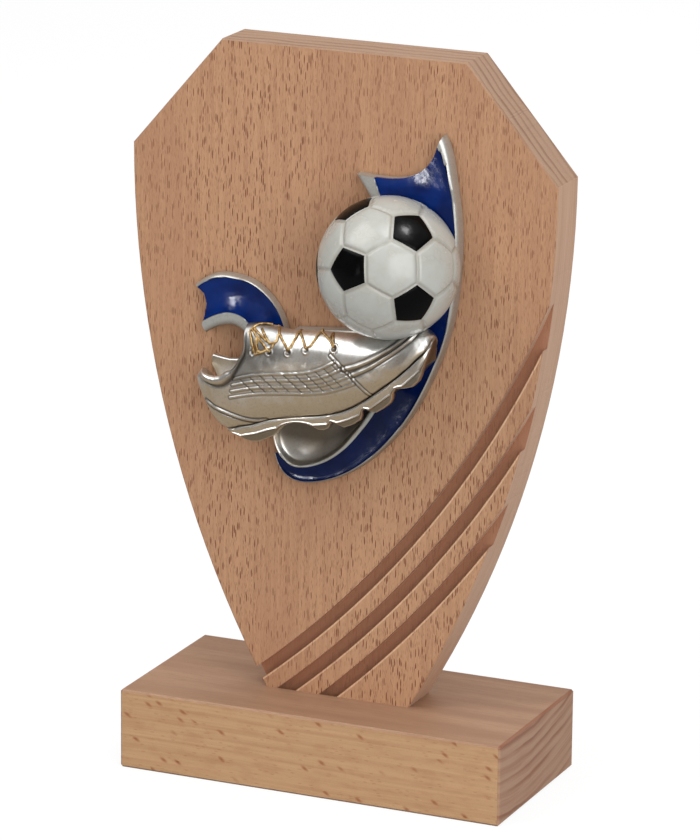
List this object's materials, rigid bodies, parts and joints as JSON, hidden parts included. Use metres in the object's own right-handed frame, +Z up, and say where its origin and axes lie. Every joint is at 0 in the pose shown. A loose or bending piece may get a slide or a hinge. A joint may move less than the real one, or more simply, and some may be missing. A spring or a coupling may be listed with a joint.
{
  "type": "wooden football trophy",
  "caption": "Shield-shaped wooden award board with milled arc grooves, standing on a block base and carrying a cast relief emblem of a ribbon, football boot and ball.",
  "frame": {"origin": "centre of the base block's underside, where the trophy rests on a shelf", "axes": "+Z up; +X along the base's long side, to the right seen from the front; the board's front with the emblem faces -Y"},
  "size_m": [0.1096, 0.0571, 0.18],
  "materials": {
    "base_wood": "fine-sanded and waxed beech, matt",
    "board_wood": "fine-sanded and waxed beech, matt, with milled grooves",
    "screw_steel": "zinc-plated",
    "pad_foam": "thin double-sided foam pad",
    "silver_casting": "satin nickel plating over a zinc casting",
    "blue_enamel": "glossy poured paint",
    "gold_paint": "dull gold paint",
    "white_enamel": "glossy off-white paint",
    "black_enamel": "glossy black paint"
  },
  "bodies": {
    "root": {"base_block": "base_wood", "shield_board": "board_wood", "base_screws": "screw_steel", "adhesive_pads": "pad_foam", "ribbon": "silver_casting", "ribbon_enamel": "blue_enamel", "boot_upper": "silver_casting", "boot_sole": "silver_casting", "boot_laces": "gold_paint", "ball": "white_enamel", "ball_pentagons": "black_enamel"}
  },
  "joints": []
}
